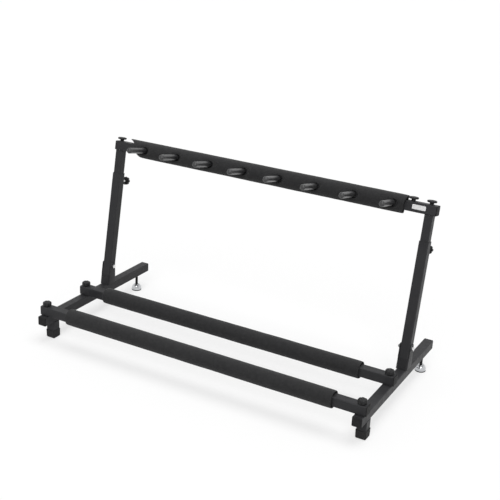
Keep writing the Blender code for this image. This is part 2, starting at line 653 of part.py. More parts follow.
def make_top_foam(slide):
    """Make the top foam sleeve with its slanted left end and finger openings."""
    middle = (TOP_FOAM_LEFT_TOP + TOP_FOAM_LEFT_BOTTOM) / 2
    slant = (TOP_FOAM_LEFT_BOTTOM - TOP_FOAM_LEFT_TOP) / TOP_FOAM_DIAMETER
    start = LEFT + middle
    shape = foam_sleeve(TOP_FOAM_DIAMETER, TOP_FOAM_END - start, slant)
    foam = piece("top_foam", shape, FOAM, slide, (start, 0, TOP_BAR_REACH))
    holes = bmesh.new()
    for x in FINGER_PLACES:
        offset = (x + FINGER_HOLE_SHIFT - start, 0, FINGER_RISE)
        rings = []
        for along in (-TUBE / 2, -TOP_FOAM_DIAMETER / 2 - CUT_MARGIN):
            ring = circle(FINGER_HOLE_WIDTH, along, "Y", HOLE_STEPS)
            for point in ring:
                point.z *= FINGER_HOLE_HEIGHT / FINGER_HOLE_WIDTH
            rings.append(moved(ring, offset))
        skin(rings, shape=holes)
    change(foam, holes, "DIFFERENCE", "finger_holes")


def make_finger_cover(number, x, slide):
    """Make the soft cover of one finger, with its bore for the rod."""
    start = -(TUBE / 2 + TOUCH_GAP + FINGER_DIAMETER / 2 * math.sin(FINGER_TILT))
    bore = ROD_DIAMETER + 2 * TOUCH_GAP
    bore_end = FINGER_END_WALL - FINGER_REACH - TOUCH_GAP
    tip_start = FINGER_TIP - FINGER_REACH
    profile = [(0, bore_end), (bore, bore_end), (bore, start), (FINGER_DIAMETER, start)]
    for step in range(TIP_STEPS):
        angle = math.pi / 2 * step / TIP_STEPS
        along = tip_start - FINGER_TIP * math.sin(angle)
        profile.append((FINGER_DIAMETER * math.cos(angle), along))
    profile.append((0, -FINGER_REACH))
    rings = [circle(diameter, along, "Y", FINGER_STEPS) for diameter, along in profile]
    shape = skin([tilted(ring) for ring in rings])
    piece("finger_cover_" + str(number), shape, SOFT_COVER, slide, (x, 0, TOP_BAR_REACH))


def make_label(slide):
    """Make the blank label plate on the front of the end sleeve."""
    start = TOP_FOAM_END + LABEL_INSET
    front = -(TUBE / 2 + TOUCH_GAP)
    rings = []
    for y in (front, front - LABEL_THICKNESS):
        low = TOP_BAR_REACH + LABEL_RISE - LABEL_HEIGHT / 2
        high = TOP_BAR_REACH + LABEL_RISE + LABEL_HEIGHT / 2
        corners = ((start, low), (start + LABEL_LENGTH, low), (start + LABEL_LENGTH, high), (start, high))
        rings.append([Vector((x, y, z)) for x, z in corners])
    piece("label_plate", skin(rings), LABEL_WHITE, slide)


def make_top_knobs(slide):
    """Make the knobs over the two uprights, and the lock knob of the end sleeve."""
    through = TUBE + 2 * TOUCH_GAP + UPRIGHT_PLUG - STUD_PAST_NUT
    into_spigot = TUBE_WALL + SLIDE_GAP + INNER_WALL + NUT_HEIGHT + STUD_PAST_NUT + TOUCH_GAP
    knobs = (("top_left_knob", LEFT, through), ("top_right_knob", RIGHT, through))
    knobs += (("sleeve_lock_knob", SLEEVE_KNOB_X, into_spigot),)
    for name, x, stud_length in knobs:
        axis = joint(name + "_axis", (x, 0, TOP_FACE + TOUCH_GAP), parent=slide)
        flat_knob(name, stud_length, axis, (0, 0, 0))


def main():
    """Build the whole rack in an empty scene."""
    for old in list(bpy.data.objects):
        bpy.data.objects.remove(old)

    sides = (("left", LEFT), ("right", RIGHT))
    for side, x in sides:
        make_leg(side, x)
    make_lower_bar("front", FRONT_BAR_Y, FRONT_FOAM_SHIFT)
    make_lower_bar("rear", REAR_BAR_Y, REAR_FOAM_SHIFT)

    fold = joint("fold_axis", (0, PIVOT_Y, PIVOT_Z), LEAN)
    slide = joint("height_slide", (0, 0, 0), parent=fold)
    for side, x in sides:
        make_hinge(side, x, fold)
        make_outer_upright(side, x, fold)
        make_inner_upright(side, x, slide)
    make_top_bar(slide)
    make_top_foam(slide)
    for number, x in enumerate(FINGER_PLACES, 1):
        make_finger_cover(number, x, slide)
    make_label(slide)
    make_top_knobs(slide)


main()
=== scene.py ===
"""Looks of a folding racket rack: painted tube, foam sleeves, knobs, light and camera."""
import json
import math

import bmesh
import bpy
from mathutils import Matrix, Vector, noise


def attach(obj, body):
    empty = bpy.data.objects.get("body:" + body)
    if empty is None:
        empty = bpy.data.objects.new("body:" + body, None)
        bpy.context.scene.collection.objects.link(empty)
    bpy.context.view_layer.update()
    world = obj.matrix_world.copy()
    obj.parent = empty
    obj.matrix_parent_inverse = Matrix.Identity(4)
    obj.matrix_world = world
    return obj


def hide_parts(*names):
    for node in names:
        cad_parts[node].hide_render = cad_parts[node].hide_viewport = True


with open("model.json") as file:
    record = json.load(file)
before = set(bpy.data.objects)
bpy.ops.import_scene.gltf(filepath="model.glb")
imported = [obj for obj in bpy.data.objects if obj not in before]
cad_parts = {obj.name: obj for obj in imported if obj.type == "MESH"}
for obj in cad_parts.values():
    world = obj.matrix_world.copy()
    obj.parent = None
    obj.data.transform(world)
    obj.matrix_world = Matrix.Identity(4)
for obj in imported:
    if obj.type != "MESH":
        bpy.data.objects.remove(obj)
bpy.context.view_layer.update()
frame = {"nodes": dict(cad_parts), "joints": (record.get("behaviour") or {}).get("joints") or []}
joints = {joint["name"]: joint for joint in frame["joints"]}

# Sizes that the looks share with the frame, in metres
TUBE = 0.025
TUBE_WALL = 0.0012
TUBE_CORNER = 0.0025
INNER_WALL = 0.0010
GAP = 0.0003
CLAMP_STUD = 0.033
HEIGHT_STUD = 0.0224
TOP_STUD = 0.0345
LOCK_STUD = 0.010

# Fingers, and their openings in the foam
FINGERS = range(1, 9)
FINGER_RISE = 0.001
FINGER_TILT = math.radians(2)
FINGER_LENGTH = 0.082
FINGER_RADIUS = 0.008
FINGER_TIP = 0.0062
COVER_START = GAP + FINGER_RADIUS * math.sin(FINGER_TILT)
COVER_END_WALL = 0.008
OPENING_ACROSS = 0.0123
OPENING_OVER = 0.0098
OPENING_SHIFT = 0.003

# Threads, as diameter and pitch
STUD_THREAD = (0.0059, 0.001)
GLIDE_THREAD = (0.0079, 0.00125)

# Smoothness of the meshes
CORNER_STEPS = 6
ROUND_STEPS = 48
BOLT_STEPS = 72
KNOB_STEPS = 84
GRIP_STEPS = 120
GLIDE_STEPS = 96
BEAD_STEPS = 10
BEAD_STRIDE = 0.0006
BEAD_RIPPLE = 0.0021
SHARP_ANGLE = math.radians(38)
EDGE = 0.00035
NEAR = 0.000002

# The place of the leaning frame: X to the right, Y to its rear, Z up along it
pivot = Vector(joints["fold"]["pos_m"])
lean = Vector(joints["height"]["axis"])
WORLD = Matrix.Identity(4)
LEANING = Matrix((
    (1, 0, 0, 0),
    (0, lean.z, lean.y, pivot.y),
    (0, -lean.y, lean.z, pivot.z),
    (0, 0, 0, 1),
))

# Turns that point a shape's Z axis another way
POINTING = {
    "Z": WORLD,
    "X": Matrix.Rotation(math.pi / 2, 4, "Y"),
    "-X": Matrix.Rotation(-math.pi / 2, 4, "Y"),
    "Y": Matrix.Rotation(-math.pi / 2, 4, "X"),
    "-Y": Matrix.Rotation(math.pi / 2, 4, "X"),
}


def aim(position, axis, place=WORLD):
    """Return the matrix that puts a shape at a position with its Z along an axis."""
    return place @ Matrix.Translation(position) @ POINTING[axis]


def node_box(node, place=WORLD):
    """Return a node's lowest and highest corners in a place's own axes."""
    back = place.inverted()
    points = [back @ vert.co for vert in frame["nodes"][node].data.vertices]
    return [Vector([limit(point[axis] for point in points) for axis in range(3)]) for limit in (min, max)]


def node_middle(node, place=WORLD):
    """Return the middle of a node's box in a place's own axes."""
    low, high = node_box(node, place)
    return (low + high) / 2


def smooth(low, high, value):
    """Rise smoothly from 0 at low to 1 at high."""
    share = min(1.0, max(0.0, (value - low) / (high - low)))
    return share * share * (3 - 2 * share)


# Materials

class Nodes:
    """The node tree of a material or a world, with short ways to add to it."""

    def __init__(self, owner):
        owner.use_nodes = True
        self.tree = owner.node_tree

    def fill(self, node, inputs):
        """Set a node's inputs, each by a value or by the socket that drives it."""
        for name, value in inputs.items():
            if isinstance(value, bpy.types.NodeSocket):
                self.tree.links.new(value, node.inputs[name])
            else:
                node.inputs[name].default_value = value

    def add(self, kind, inputs=None, **settings):
        """Add a node with its settings and inputs."""
        node = self.tree.nodes.new(kind)
        for name, value in settings.items():
            setattr(node, name, value)
        self.fill(node, inputs or {})
        return node

    def ranged(self, value, low, high, start=0.3, end=0.7):
        """Map a value that goes from start to end onto low to high."""
        inputs = {"Value": value, "From Min": start, "From Max": end, "To Min": low, "To Max": high}
        return self.add("ShaderNodeMapRange", inputs).outputs["Result"]

    def seen_share(self):
        """Return an output that is 1 for what the camera, a mirror or glass sees, and else 0."""
        path = self.add("ShaderNodeLightPath")
        seen = path.outputs["Is Camera Ray"]
        for name in ("Is Glossy Ray", "Is Transmission Ray"):
            seen = self.add("ShaderNodeMath", {0: seen, 1: path.outputs[name]}, operation="MAXIMUM").outputs[0]
        return seen


class Finish(Nodes):
    """A material whose textures are measured in metres on the piece."""

    def __init__(self, name, specular=0.5, metallic=0.0, **soft):
        self.material = bpy.data.materials.new(name)
        super().__init__(self.material)
        self.shader = self.tree.nodes["Principled BSDF"]
        self.fill(self.shader, {"Specular IOR Level": specular, "Metallic": metallic})
        self.fill(self.shader, {key.replace("_", " ").title(): value for key, value in soft.items()})
        self.place = self.add("ShaderNodeTexCoord").outputs["Object"]

    def noise(self, size, detail, vector=None):
        inputs = {"Scale": 1 / size, "Detail": detail, "Vector": vector or self.place}
        return self.add("ShaderNodeTexNoise", inputs).outputs["Fac"]

    def cells(self, size):
        return self.add("ShaderNodeTexVoronoi", {"Scale": 1 / size, "Vector": self.place}).outputs["Distance"]

    def mixed(self, value, base, colour, start=0.3, end=0.7):
        """Turn a base, a colour or a socket, into a colour as a value goes from start to end."""
        inputs = {
            "Factor": self.ranged(value, 0.0, 1.0, start, end),
            "A": (*base, 1.0) if isinstance(base, tuple) else base,
            "B": (*colour, 1.0),
        }
        return self.add("ShaderNodeMix", inputs, data_type="RGBA").outputs["Result"]

    def surface(self, base, rough, *bumps):
        """Drive the shader by a base colour, a noise of roughness (size, detail, low, high) and bumps."""
        size, detail, low, high = rough
        relief = {}
        for height, depth in bumps:
            bump = self.add("ShaderNodeBump", {"Strength": 1.0, "Distance": depth, "Height": height, **relief})
            relief = {"Normal": bump.outputs["Normal"]}
        roughness = self.ranged(self.noise(size, detail), low, high)
        self.fill(self.shader, {"Base Color": base, "Roughness": roughness, **relief})
        return self.material


def powder_coat():
    """Black satin powder coat: orange peel, fine grain and faint rubbed edges."""
    finish = Finish("black_powder_coat", 0.16)
    base = finish.mixed(finish.noise(0.045, 4.0), (0.020, 0.020, 0.022), (0.029, 0.029, 0.031))
    edges = finish.add("ShaderNodeNewGeometry").outputs["Pointiness"]
    base = finish.mixed(edges, base, (0.075, 0.075, 0.078), 0.53, 0.62)
    peel, grain = finish.noise(0.0022, 2.0), finish.noise(0.0005, 2.0)
    return finish.surface(base, (0.012, 3.0, 0.40, 0.52), (peel, 0.00005), (grain, 0.000012))


def foam(name, pore, low, high, specular=0.25, sheen=0.12):
    """Charcoal closed-cell foam: soft mottling and fine pores."""
    finish = Finish(name, specular, sheen_weight=sheen, sheen_roughness=0.6)
    base = finish.mixed(finish.noise(0.011, 5.0), low, high)
    dark = tuple(part * 0.55 for part in low)
    base = finish.mixed(finish.noise(pore * 2.2, 2.0), base, dark, 0.60, 0.72)
    lumps, pores = finish.noise(0.007, 3.0), finish.cells(pore)
    return finish.surface(base, (0.006, 3.0, 0.86, 1.0), (lumps, 0.00022), (pores, pore * 0.22))


def soft_cover():
    """Smooth black vinyl of the finger covers, with a faint moulded skin."""
    finish = Finish("finger_cover_vinyl", 0.55, coat_weight=0.15, coat_roughness=0.25)
    base = finish.mixed(finish.noise(0.014, 3.0), (0.026, 0.026, 0.028), (0.040, 0.040, 0.041))
    skin, grain = finish.noise(0.003, 2.0), finish.noise(0.0006, 2.0)
    return finish.surface(base, (0.004, 3.0, 0.30, 0.42), (skin, 0.00004), (grain, 0.00001))


def plastic(name, low, high, rough_low, rough_high, grain, specular=0.25):
    """Moulded plastic with an eroded grain."""
    finish = Finish(name, specular)
    base = finish.mixed(finish.noise(0.008, 4.0), low, high)
    eroded, flow = finish.cells(grain), finish.noise(grain * 5, 2.0)
    return finish.surface(base, (0.003, 3.0, rough_low, rough_high), (eroded, grain * 0.10), (flow, 0.00003))


def rubber():
    """Dull black rubber with a little dust in its grain."""
    finish = Finish("foot_rubber", 0.3)
    base = finish.mixed(finish.noise(0.006, 5.0), (0.015, 0.015, 0.016), (0.024, 0.024, 0.024))
    base = finish.mixed(finish.noise(0.0012, 4.0), base, (0.060, 0.058, 0.055), 0.62, 0.80)
    return finish.surface(base, (0.004, 3.0, 0.68, 0.86), (finish.noise(0.0009, 4.0), 0.00006))


def chrome():
    """Bright chrome plate with faint polishing lines and haze."""
    finish = Finish("glide_chrome", metallic=1.0)
    base = finish.mixed(finish.noise(0.010, 3.0), (0.50, 0.51, 0.53), (0.60, 0.61, 0.62))
    return finish.surface(base, (0.003, 4.0, 0.07, 0.16), (finish.noise(0.0008, 3.0), 0.000006))


def zinc(name, shade=1.0):
    """Zinc plated steel: spangled, a little blue and yellow, with dull patches."""
    finish = Finish(name, metallic=1.0)
    # A shade below 1 darkens every colour, as painted shade.
    light, warm, dull = [tuple(part * shade for part in colour) for colour in (
        (0.66, 0.67, 0.70), (0.78, 0.77, 0.74), (0.46, 0.47, 0.49))]
    base = finish.mixed(finish.cells(0.0021), light, warm, 0.2, 0.8)
    base = finish.mixed(finish.noise(0.0014, 4.0), base, dull, 0.60, 0.75)
    return finish.surface(base, (0.0016, 4.0, 0.24, 0.44), (finish.noise(0.0004, 3.0), 0.00001))


def label_face():
    """White coated plate with a fine brushed grain along its length."""
    finish = Finish("label_white")
    stretch = finish.add("ShaderNodeMapping", {"Scale": (1 / 0.010, 1 / 0.0003, 1 / 0.0003), "Vector": finish.place})
    grain = finish.noise(1.0, 3.0, stretch.outputs["Vector"])
    base = finish.mixed(grain, (0.86, 0.86, 0.86), (0.92, 0.92, 0.92))
    return finish.surface(base, (0.002, 3.0, 0.34, 0.46), (grain, 0.000008))


FINISHES = {
    "paint": powder_coat(),
    "foam": foam("foam_skin", 0.0008, (0.018, 0.018, 0.019), (0.025, 0.025, 0.026)),
    # The cut ends: darker than the skin, partly the cut foam's own tone and partly painted shade.
    "foam_cut_shaded": foam("foam_cut_shaded", 0.0011, (0.005, 0.005, 0.005), (0.010, 0.010, 0.010), 0.05, 0.02),
    "cover": soft_cover(),
    "knob": plastic("knob_plastic", (0.013, 0.013, 0.014), (0.021, 0.021, 0.022), 0.42, 0.55, 0.0007),
    "cap": plastic("cap_plastic", (0.014, 0.014, 0.015), (0.022, 0.022, 0.022), 0.55, 0.70, 0.0006, 0.14),
    "nylon": plastic("nut_ring_nylon", (0.10, 0.16, 0.24), (0.13, 0.20, 0.30), 0.35, 0.45, 0.0005),
    "rubber": rubber(),
    "chrome": chrome(),
    # Near-black steel for the glide stems.
    "stem": plastic("dark_stem_steel", (0.020, 0.020, 0.021), (0.034, 0.034, 0.034), 0.35, 0.50, 0.0004),
    "zinc": zinc("zinc_plate"),
    # A darker copy of the zinc plate: painted shade on the hinge nuts and bolt threads.
    "dull_zinc": zinc("zinc_plate_shaded", 0.30),
    "label": label_face(),
}


# Mesh building

def square_ring(width, corner, z, steps=CORNER_STEPS, height=None):
    """Return the points of a square, or a rectangle, with rounded corners."""
    if width <= 0:
        return [Vector((0, 0, z))]
    reach, rise = width / 2 - corner, (height or width) / 2 - corner
    ring = []
    for quarter, (side, over) in enumerate(((1, 1), (-1, 1), (-1, -1), (1, -1))):
        for step in range(steps + 1):
            angle = math.radians(90 * (quarter + step / steps))
            x = side * reach + corner * math.cos(angle)
            y = over * rise + corner * math.sin(angle)
            ring.append(Vector((x, y, z)))
    return ring


def polar_ring(radius, z, steps=ROUND_STEPS):
    """Return the points of a circle, or of an outline given by its radius at an angle."""
    if not callable(radius) and radius <= 0:
        return [Vector((0, 0, z))]
    ring = []
    for step in range(steps):
        angle = 2 * math.pi * step / steps
        reach = radius(angle) if callable(radius) else radius
        ring.append(Vector((reach * math.cos(angle), reach * math.sin(angle), z)))
    return ring


def soften(points, closed=False, steps=3):
    """Round the corners of a profile of (reach, height) or (reach, height, rounding) points."""
    profile = []
    for index, point in enumerate(points):
        here = Vector(point[:2])
        inside = closed or 0 < index < len(points) - 1
        if len(point) < 3 or not inside:
            profile.append(tuple(here))
            continue
        before = Vector(points[index - 1][:2]) - here
        after = Vector(points[(index + 1) % len(points)][:2]) - here
        reach = min(point[2], before.length / 2, after.length / 2)
        first = here + before.normalized() * reach
        last = here + after.normalized() * reach
        for step in range(steps + 1):
            share = step / steps
            profile.append(tuple(first * (1 - share) ** 2 + here * 2 * share * (1 - share) + last * share ** 2))
    return [spot for index, spot in enumerate(profile) if not index or math.dist(spot, profile[index - 1]) > NEAR]


def turned(profile, steps=ROUND_STEPS, outline=None):
    """Return the rings of a profile of (radius, height); an outline shapes each radius round its ring."""
    return [polar_ring(outline(radius) if outline and radius > 0 else radius, z, steps) for radius, z in profile]


def squared(profile, width, corner, tightening, least):
    """Return the rings of a profile of (inset, height) round a square; its corners tighten inwards."""
    rings = []
    for inset, z in profile:
        side = width - 2 * inset
        rings.append(square_ring(side, min(max(corner - inset * tightening, least), 0.4 * side), z))
    return rings


def bridge(shape, first, second, finish=0):
    """Join two rows of vertices with faces; a row of one vertex is a pole."""
    count = max(len(first), len(second))
    for index in range(count):
        after = (index + 1) % count
        corners = [first[index % len(first)], first[after % len(first)]]
        corners += [second[after % len(second)], second[index % len(second)]]
        face = shape.faces.new(list(dict.fromkeys(corners)))
        face.material_index = finish


def loft(rings, closed=False, shape=None):
    """Skin a row of rings into a solid, capped or joined end to end."""
    shape = shape or bmesh.new()
    rows = [[shape.verts.new(point) for point in ring] for ring in rings]
    for first, second in zip(rows, rows[1:]):
        bridge(shape, first, second)
    if closed:
        bridge(shape, rows[-1], rows[0])
    else:
        for row in (rows[0], rows[-1]):
            if len(row) > 2:
                shape.faces.new(row)
    return shape


def add_object(name, shape, place):
    """Turn a shape into an object in its place."""
    bmesh.ops.recalc_face_normals(shape, faces=shape.faces)
    mesh = bpy.data.meshes.new(name)
    shape.to_mesh(mesh)
    shape.free()
    mesh.transform(place)
    added = bpy.data.objects.new(name, mesh)
    bpy.context.scene.collection.objects.link(added)
    return added


def weigh_normals(target):
    """Let large faces steer an object's shading."""
    weighted = target.modifiers.new("weighted", "WEIGHTED_NORMAL")
    weighted.keep_sharp = True


def add_piece(name, shape, body, finish, nodes=(), place=WORLD, weigh=True):
    """Turn a shape into a piece that rides on a body and stands for its nodes."""
    added = add_object(name, shape, place)
    for material in ([finish] if isinstance(finish, str) else finish):
        added.data.materials.append(FINISHES[material])
    added.data.shade_smooth()
    added.data.set_sharp_from_angle(angle=SHARP_ANGLE)
    if weigh:
        weigh_normals(added)
    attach(added, body)
    if nodes:
        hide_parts(*nodes)
    return added


def add_painted(name, shape, body, nodes=(), place=WORLD, weigh=True):
    """Add a powder coated piece."""
    return add_piece(name, shape, body, "paint", nodes, place, weigh)


# Painted tubes

def add_tube(node, axis, body, place=WORLD, wall=TUBE_WALL, across=None):
    """Replace a node's square tube by a finer one, centred on a point across it if one is given."""
    low, high = node_box(node, place)
    direction = "XYZ".index(axis)
    start, width = across, TUBE
    if across is None:
        start = (low + high) / 2
        width = min(high[side] - low[side] for side in range(3) if side != direction)
    start = start.copy()
    start[direction] = low[direction]
    length = high[direction] - low[direction]
    corner = TUBE_CORNER if wall == TUBE_WALL else TUBE_CORNER - TUBE_WALL / 2
    profile = soften([(0, 0, EDGE), (0, length, EDGE), (wall, length, EDGE), (wall, 0, EDGE)], True, 2)
    shape = loft(squared(profile, width, corner, 0.8, 0.0008), closed=True)
    add_painted(node + "_tube", shape, body, (node,), aim(start, axis, place))


# End caps

def add_cap(node, outward, body, place=WORLD):
    """Replace an end cap by a domed one with a moulded dimple."""
    low, high = node_box(node, place)
    direction = "XYZ".index(outward[-1])
    face = (low + high) / 2
    face[direction] = low[direction] if outward[0] == "-" else high[direction]
    half = TUBE / 2
    plug = TUBE_WALL + GAP
    points = [(half, -0.0083), (plug + 0.0006, -0.0083, 0.0003), (plug, -0.0076, 0.0003), (plug, -0.002)]
    points += [(0, -0.002, 0.0003), (0, -0.0009, 0.0008), (0.0011, -0.0003, 0.0006), (0.0045, -0.00012)]
    points += [(half - 0.0030, -0.00002), (half - 0.0019, -0.00004, 0.0003), (half - 0.0014, -0.0004, 0.0003)]
    points += [(half, -0.00045)]
    shape = loft(squared(soften(points), TUBE, TUBE_CORNER, 0.3, 0.0012))
    add_piece(node + "_plug", shape, body, "cap", (node,), aim(face, outward, place))


# Threads, bolts and nuts

def thread_rings(thread, start, end, steps=24):
    """Return the rings of a screw thread from start to end, six to a turn."""
    diameter, pitch = thread
    rows = max(2, round((end - start) / pitch * 6))
    rings = []
    for row in range(rows + 1):
        z = start + (end - start) * row / rows
        fade = min(1.0, (end - z) / pitch, (z - start) / pitch + 0.3)

        def radius(angle):
            phase = (z / pitch - angle / (2 * math.pi)) % 1
            return diameter / 2 - pitch * 0.6 * (abs(2 * phase - 1) * fade + 1 - fade)

        rings.append(polar_ring(radius, z, steps))
    return rings


def hexagon(width):
    """Return the radius function of a hexagon, given across its flats."""
    def radius(angle):
        from_flat = (angle + math.pi / 6) % (math.pi / 3) - math.pi / 6
        return width / 2 / math.cos(from_flat)
    return radius


def clipped(outline, limit):
    """Return an outline's radius function cut off by a circle."""
    return lambda angle: min(outline(angle), limit)


def add_hinge(side):
    """Replace a hinge bolt and its nut by detailed ones, along X."""
    bolt, nut = side + "_hinge_bolt", side + "_hinge_nut"
    start, top = [corner.x for corner in node_box(bolt, LEANING)]
    nut_low, nut_high = node_box(nut, LEANING)
    width = nut_high.y - nut_low.y
    flats = width * math.cos(math.pi / 6) if width > 0.0105 else width
    outline = hexagon(flats)
    place = aim((0, 0, 0), "X", LEANING)

    head = top - 0.004
    threaded = start + 0.0091
    profile = [(0.00295, start + 0.0092), (0.00295, head), (flats * 0.47, head), (flats * 0.47, head + 0.0003)]
    profile += [(clipped(outline, flats * 0.56), head + 0.0003), (outline, head + 0.0006), (outline, top - 0.0009)]
    profile += [(clipped(outline, flats * 0.54), top - 0.0004), (flats * 0.465, top), (flats * 0.33, top - 0.0001)]
    profile += [(flats * 0.30, top - 0.0004), (0, top - 0.00045)]
    rings = thread_rings(STUD_THREAD, start, start + 0.009, BOLT_STEPS)
    shape = loft(rings + turned(profile, BOLT_STEPS))
    # The threaded end takes the darker zinc, which is painted shade.
    for face in shape.faces:
        face.material_index = int(face.calc_center_median().z < threaded)
    add_piece(bolt + "_screw", shape, "base", ("zinc", "dull_zinc"), (bolt,), place)

    far, near = nut_low.x, nut_high.x
    collar = far + 0.0014
    hole = 0.0031
    profile = [(hole, near), (flats * 0.47, near), (outline, near - 0.0004), (outline, collar + 0.0003)]
    profile += [(clipped(outline, flats * 0.52), collar), (flats * 0.455, collar - 0.0002)]
    profile += [(flats * 0.45, far + 0.0004), (flats * 0.42, far), (flats * 0.40, far)]
    profile += [(flats * 0.40, far + 0.0003), (hole, far + 0.0003)]
    shape = loft(turned(profile, BOLT_STEPS), closed=True)
    # The nut takes the darker zinc, which is painted shade.
    add_piece(nut + "_body", shape, "base", "dull_zinc", (nut,), place)
    profile = [(hole + 0.0001, far + 0.00035), (flats * 0.398, far + 0.00035)]
    profile += [(flats * 0.395, far + 0.0001), (hole + 0.0003, far + 0.0001)]
    shape = loft(turned(profile, BOLT_STEPS), closed=True)
    add_piece(nut + "_ring", shape, "base", "nylon", (), place)


# Welds

def add_bead(name, path, body, place=WORLD, radius=0.0017, closed=False):
    """Lay a rippled weld bead along a path of points."""
    spots = [Vector(point) for point in path]
    if closed:
        spots.append(spots[0])
    fine = []
    for first, second in zip(spots, spots[1:]):
        count = max(1, round((second - first).length / BEAD_STRIDE))
        fine += [first.lerp(second, step / count) for step in range(count)]
    if not closed:
        fine.append(spots[-1])
    rings = []
    travelled = 0.0
    for index, spot in enumerate(fine):
        before = fine[index - 1] if closed or index else spot
        after = fine[(index + 1) % len(fine)] if closed or index < len(fine) - 1 else spot
        forward = (after - before).normalized()
        side = forward.orthogonal().normalized()
        over = forward.cross(side)
        travelled += (spot - before).length if index else 0.0
        ripple = 0.86 + 0.14 * abs(math.sin(math.pi * travelled / BEAD_RIPPLE)) + 0.10 * noise.noise(spot * 260)
        from_end = min(index, len(fine) - 1 - index) * BEAD_STRIDE
        ends = 1.0 if closed else smooth(-0.0004, 0.0014, from_end)
        circle = polar_ring(radius * ripple * (0.35 + 0.65 * ends), 0, BEAD_STEPS)
        rings.append([spot + side * point.x + over * point.y for point in circle])
    add_painted(name, loft(rings, closed=closed), body, (), place, weigh=False)


# Knobs

def knob_place(node):
    """Return the place of a turning knob: its Z is its joint's axis, from the joint's pos."""
    joint = joints[node + "_turn"]
    turn = Vector((0, 0, 1)).rotation_difference(Vector(joint["axis"])).to_matrix().to_4x4()
    return Matrix.Translation(joint["pos_m"]) @ turn


def lobed(radius):
    """Return the radius function of a clamp knob's ring, which has grip hollows at the rim."""
    depth = 0.0017 * smooth(0.0068, 0.0108, radius)
    return lambda angle: radius - depth * smooth(0.05, 0.95, -math.cos(7 * angle))


def add_clamp_knob(node, stud, bright=False):
    """Replace a lobed knob; a bright stud is a zinc piece of its own."""
    place = knob_place(node)
    body = node + "_turning"
    reach = 0.0115
    points = [(0.0070, 0), (0.0070, 0.0015, 0.0004), (reach - 0.0003, 0.0015, 0.0006)]
    points += [(reach, 0.0026, 0.0006), (reach, 0.0094, 0.0014), (reach - 0.0017, 0.0111, 0.0010)]
    points += [(0.0066, 0.0115, 0.0005), (0.0060, 0.0108, 0.0004), (0.0036, 0.0107, 0.0004)]
    points += [(0.0030, 0.0112, 0.0004), (0, 0.0113)]
    neck = [(0.0036, 0)] if bright else [(0.0029, -stud), (0.0029, 0)]
    shape = loft(turned(neck, KNOB_STEPS) + turned(soften(points), KNOB_STEPS, lobed))
    if bright:
        collar = soften([(0, -0.0012), (0.0046, -0.0012, 0.0004), (0.0046, 0.0001)])
        loft(turned(collar), shape=shape)
    add_piece(node + "_head", shape, body, "knob", (node,), place)
    if bright:
        screw = loft(thread_rings(STUD_THREAD, -stud, -0.0011))
        add_piece(node + "_stud", screw, body, "zinc", (), place)


def add_flat_knob(node, stud):
    """Replace a flat-headed knob by one with a domed top and a fine grip."""
    reach = 0.01225
    points = [(0.0029, -stud), (0.0029, 0), (0.0055, 0, 0.0003), (0.0052, 0.0030, 0.0010)]
    points += [(0.0062, 0.0048, 0.0008), (reach - 0.0010, 0.0052, 0.0006), (reach, 0.0062, 0.0006)]
    points += [(reach, 0.0086, 0.0008), (reach - 0.0012, 0.0099, 0.0010), (0.0070, 0.01035, 0.0006)]
    points += [(0.0064, 0.0100, 0.0004), (0.0032, 0.0100, 0.0004), (0.0026, 0.01045, 0.0003), (0, 0.0105)]

    def gripped(radius):
        grip = 0.00022 * smooth(reach - 0.0012, reach - 0.0002, radius)
        return lambda angle: radius - grip * (0.5 - 0.5 * math.cos(30 * angle))

    shape = loft(turned(soften(points), GRIP_STEPS, gripped))
    add_piece(node + "_head", shape, node + "_turning", "knob", (node,), knob_place(node))


# Feet and glides

def floor_place(node):
    """Return the place on the floor under a node's middle."""
    return aim((*node_middle(node).xy, 0), "Z")


def add_rubber_foot(side):
    """Replace a rubber foot by a moulded boot with a lip and grooves."""
    node = side + "_rubber_foot"
    low, high = node_box(node)
    width, top = high.x - low.x, high.z
    half, wall = width / 2, (width - TUBE) / 2 - GAP
    points = [(half, 0.0006), (0.0075, 0.0006, 0.0005), (0.0070, 0, 0.0006), (0.0022, 0, 0.0010)]
    points += [(0.0005, 0.0022, 0.0012), (0.0004, 0.0062, 0.0002), (0.0008, 0.0066, 0.0002)]
    points += [(0.0008, 0.0072, 0.0002), (0.0003, 0.0076, 0.0002), (0.0002, top - 0.0032, 0.0004)]
    points += [(0, top - 0.0028, 0.0004), (0, top, 0.0006), (wall, top, 0.0004), (wall, 0.004), (half, 0.004)]
    shape = loft(squared(soften(points), width, 0.0031, 0.4, 0.0010))
    add_piece(node + "_boot", shape, "base", "rubber", (node,), floor_place(node))


